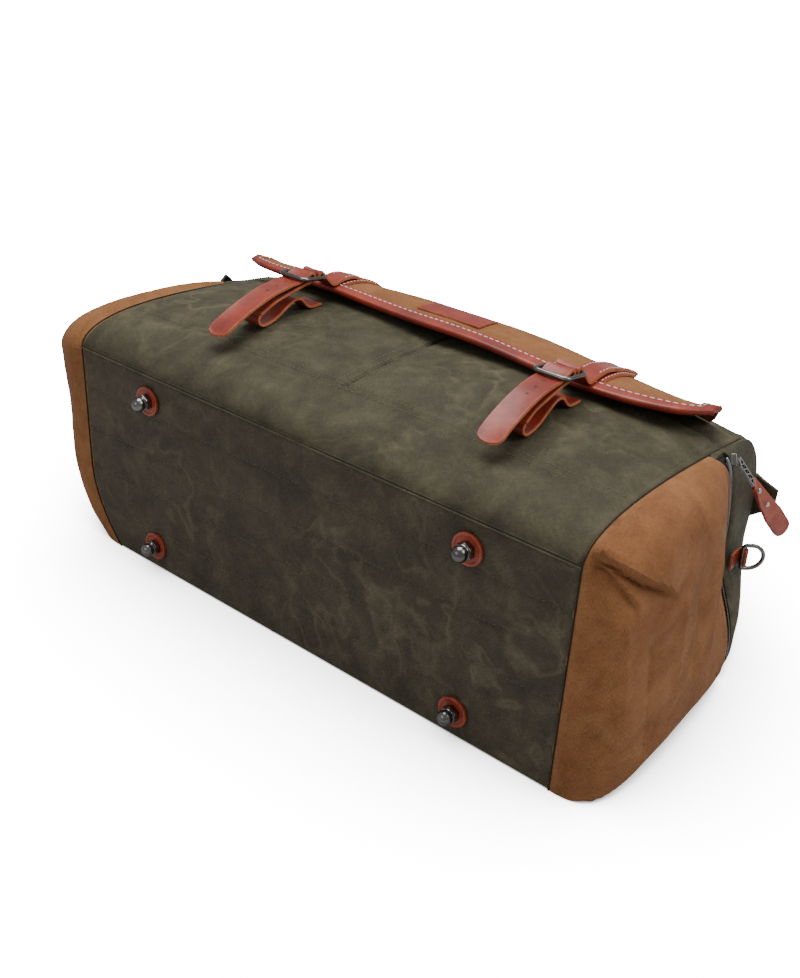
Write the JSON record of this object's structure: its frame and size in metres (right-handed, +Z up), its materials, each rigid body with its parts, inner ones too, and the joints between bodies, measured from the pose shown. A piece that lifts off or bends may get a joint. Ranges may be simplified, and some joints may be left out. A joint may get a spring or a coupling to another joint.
{
  "type": "weekender bag",
  "caption": "Soft duffel-shaped travel bag in canvas and leather, lying on its back, with a buckled front flap, zipped top and end pockets, carry handles and base feet.",
  "frame": {"origin": "on the floor, at the middle of the back panel that the bag lies on", "axes": "+X along the bag's length, from its left end to its right end as seen from the front; +Y from the base with the feet to the top with the zip; +Z up, out of the bag's front"},
  "size_m": [0.592, 0.4105, 0.2431],
  "materials": {
    "green_canvas": "waxed canvas",
    "base_canvas": "waxed canvas, darker",
    "tan_canvas": "brushed canvas",
    "leather": "smooth, semi-gloss",
    "metal": "dark nickel",
    "zip_tape": "woven tape with teeth",
    "board": "matte"
  },
  "bodies": {
    "bag": {"bottom_panel": "base_canvas", "front_panel": "green_canvas", "back_panel": "green_canvas", "back_lip": "green_canvas", "base_board": "board", "back_zip_teeth": "zip_tape", "back_handle_left_tab": "leather", "back_handle_right_tab": "leather", "foot_back_left": "metal", "foot_back_right": "metal", "foot_front_left": "metal", "foot_front_right": "metal", "washer_back_left": "leather", "washer_back_right": "leather", "washer_front_left": "leather", "washer_front_right": "leather", "left_end_pocket": "tan_canvas", "left_end_zip": "zip_tape", "left_end_gusset": "green_canvas", "left_front_pocket": "green_canvas", "left_strap_root": "leather", "left_ring_tab": "leather", "left_zip_end_tab": "green_canvas", "right_end_pocket": "tan_canvas", "right_end_zip": "zip_tape", "right_end_gusset": "green_canvas", "right_front_pocket": "green_canvas", "right_strap_root": "leather", "right_ring_tab": "leather", "right_zip_end_tab": "green_canvas"},
    "front_lip": {"front_lip": "green_canvas", "front_zip_teeth": "zip_tape", "front_handle_left_tab": "leather", "front_handle_right_tab": "leather"},
    "main_slider": {"main_zip_slider": "metal"},
    "main_pull": {"main_zip_pull": "metal", "main_pull_leather": "leather"},
    "front_handle": {"front_handle": "leather", "front_handle_left_ring": "metal", "front_handle_right_ring": "metal"},
    "back_handle": {"back_handle": "leather", "back_handle_left_ring": "metal", "back_handle_right_ring": "metal"},
    "flap": {"flap": "tan_canvas", "flap_binding": "leather", "flap_patch": "leather", "left_flap_strap": "leather", "right_flap_strap": "leather"},
    "left_buckle": {"left_buckle": "metal", "left_strap": "leather"},
    "left_slider": {"left_zip_slider": "metal"},
    "left_pull": {"left_zip_pull": "metal", "left_pull_leather": "leather"},
    "left_d_ring": {"left_d_ring": "metal"},
    "right_buckle": {"right_buckle": "metal", "right_strap": "leather"},
    "right_slider": {"right_zip_slider": "metal"},
    "right_pull": {"right_zip_pull": "metal", "right_pull_leather": "leather"},
    "right_d_ring": {"right_d_ring": "metal"}
  },
  "joints": [
    {"name": "flap_hinge", "type": "hinge", "parent": "bag", "child": "flap", "pos_m": [0, 0.117, 0.1941], "axis": [-1, 0, 0], "range_deg": [0, 100]},
    {"name": "front_lip_open", "type": "hinge", "parent": "bag", "child": "front_lip", "pos_m": [0, 0.12, 0.192], "axis": [1, 0, 0], "range_deg": [0, 60]},
    {"name": "main_zip_slide", "type": "slide", "parent": "front_lip", "child": "main_slider", "axis": [1, 0, 0], "range_m": [-0.44, 0]},
    {"name": "main_pull_swing", "type": "hinge", "parent": "main_slider", "child": "main_pull", "pos_m": [0.222, 0.1455, 0.105], "axis": [0, 0, -1], "range_deg": [0, 150]},
    {"name": "front_handle_swing", "type": "hinge", "parent": "front_lip", "child": "front_handle", "pos_m": [0, 0.13954, 0.155], "axis": [1, 0, 0], "range_deg": [0, 80]},
    {"name": "back_handle_swing", "type": "hinge", "parent": "bag", "child": "back_handle", "pos_m": [0, 0.13792, 0.052], "axis": [1, 0, 0], "range_deg": [0, 60]},
    {"name": "left_buckle_lift", "type": "hinge", "parent": "flap", "child": "left_buckle", "pos_m": [-0.126, 0.027, 0.236], "axis": [-1, 0, 0], "range_deg": [0, 60]},
    {"name": "left_zip_run", "type": "hinge", "parent": "bag", "child": "left_slider", "pos_m": [-0.30689, -0.00912, 0.107], "axis": [0.8685, -0.4735, -0.1464], "range_deg": [-52, 0]},
    {"name": "left_pull_swing", "type": "hinge", "parent": "left_slider", "child": "left_pull", "pos_m": [-0.26743, 0.05257, 0.18665], "axis": [0.4866, 0.7584, 0.4336], "range_deg": [0, 150]},
    {"name": "left_d_ring_swing", "type": "hinge", "parent": "bag", "child": "left_d_ring", "pos_m": [-0.26513, 0.105, 0.072], "axis": [0, 0, 1], "range_deg": [-35, 35]},
    {"name": "right_buckle_lift", "type": "hinge", "parent": "flap", "child": "right_buckle", "pos_m": [0.144, 0.012, 0.236], "axis": [-1, 0, 0], "range_deg": [0, 60]},
    {"name": "right_zip_run", "type": "hinge", "parent": "bag", "child": "right_slider", "pos_m": [0.30689, -0.00912, 0.107], "axis": [0.8685, 0.4735, 0.1464], "range_deg": [-52, 0]},
    {"name": "right_pull_swing", "type": "hinge", "parent": "right_slider", "child": "right_pull", "pos_m": [0.26743, 0.05257, 0.18665], "axis": [0.4866, -0.7584, -0.4336], "range_deg": [0, 150]},
    {"name": "right_d_ring_swing", "type": "hinge", "parent": "bag", "child": "right_d_ring", "pos_m": [0.26513, 0.105, 0.072], "axis": [0, 0, 1], "range_deg": [-35, 35]}
  ]
}
